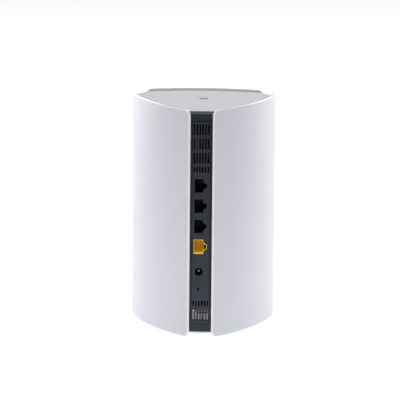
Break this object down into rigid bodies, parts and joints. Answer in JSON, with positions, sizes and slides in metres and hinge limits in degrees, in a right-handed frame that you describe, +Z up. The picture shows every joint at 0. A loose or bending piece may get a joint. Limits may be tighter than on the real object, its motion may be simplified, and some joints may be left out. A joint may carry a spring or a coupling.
{
  "type": "mesh wifi node",
  "caption": "Three-winged tower for a home mesh network: white curved panels round a dark vented core, with network sockets, power inlet and reset hole up one corner.",
  "frame": {"origin": "point on the ground at the tower's axis, level with the undersides of the rubber feet", "axes": "+Z up along the tower, -Y out of the port strip, +X to the right of someone who faces the ports"},
  "size_m": [0.1296, 0.1208, 0.2065],
  "materials": {
    "white_plastic": "satin white",
    "cap_plastic": "fine matt light grey",
    "lens": "frosted white, lets light through",
    "badge": "satin grey",
    "frame_plastic": "matt dark grey",
    "base_plastic": "matt light grey",
    "strip_plastic": "fine matt blue-grey",
    "foot_rubber": "matt",
    "screw_steel": "zinc plated",
    "board_laminate": "solder mask",
    "jack_black": "moulded black",
    "jack_yellow": "moulded yellow",
    "tin_plate": "bright tin",
    "gold_plate": "gold flash",
    "pin_plate": "nickel plated",
    "button_plastic": "satin",
    "sink_aluminium": "plain extruded",
    "thermal_rubber": "soft matt",
    "epoxy": "moulded",
    "can_sleeve": "shrink sleeve",
    "ferrite": "sintered grey",
    "coax_jacket": "smooth black",
    "led_body": "clear yellow-white",
    "ribbon": "flat flexible"
  },
  "bodies": {
    "tower": {"wing_rear": "white_plastic", "wing_left": "white_plastic", "wing_right": "white_plastic", "top_cap": "cap_plastic", "status_lens": "lens", "status_badge": "badge", "inner_frame": "frame_plastic", "port_strip": "strip_plastic", "port_panel": "strip_plastic", "rear_strip_left": "strip_plastic", "rear_strip_right": "strip_plastic", "base_plate": "base_plastic", "rubber_feet": "foot_rubber", "base_screws": "screw_steel", "main_board": "board_laminate", "lan_jack_1": "jack_black", "lan_jack_2": "jack_black", "lan_jack_3": "jack_black", "wan_jack": "jack_yellow", "jack_shields": "tin_plate", "jack_contacts": "gold_plate", "power_jack": "jack_black", "power_pin": "pin_plate", "reset_switch": "jack_black", "shield_cans": "tin_plate", "thermal_pads": "thermal_rubber", "heat_sink": "sink_aluminium", "rear_heat_sink": "sink_aluminium", "rear_thermal_pad": "thermal_rubber", "heat_sink_screws": "screw_steel", "magnetics": "epoxy", "capacitors": "can_sleeve", "inductors": "ferrite", "flash_chip": "epoxy", "coax_sockets": "gold_plate", "antenna_left": "board_laminate", "antenna_right": "board_laminate", "antenna_rear": "board_laminate", "coax_left": "coax_jacket", "coax_right": "coax_jacket", "coax_rear": "coax_jacket", "led_board": "board_laminate", "leds": "led_body", "led_screws": "screw_steel", "led_ribbon": "ribbon"},
    "button": {"reset_button": "button_plastic"}
  },
  "joints": [
    {"name": "reset_press", "type": "slide", "parent": "tower", "child": "button", "axis": [0, 1, 0], "range_m": [0, 0.0005], "stiffness_N_per_m": 3000}
  ]
}
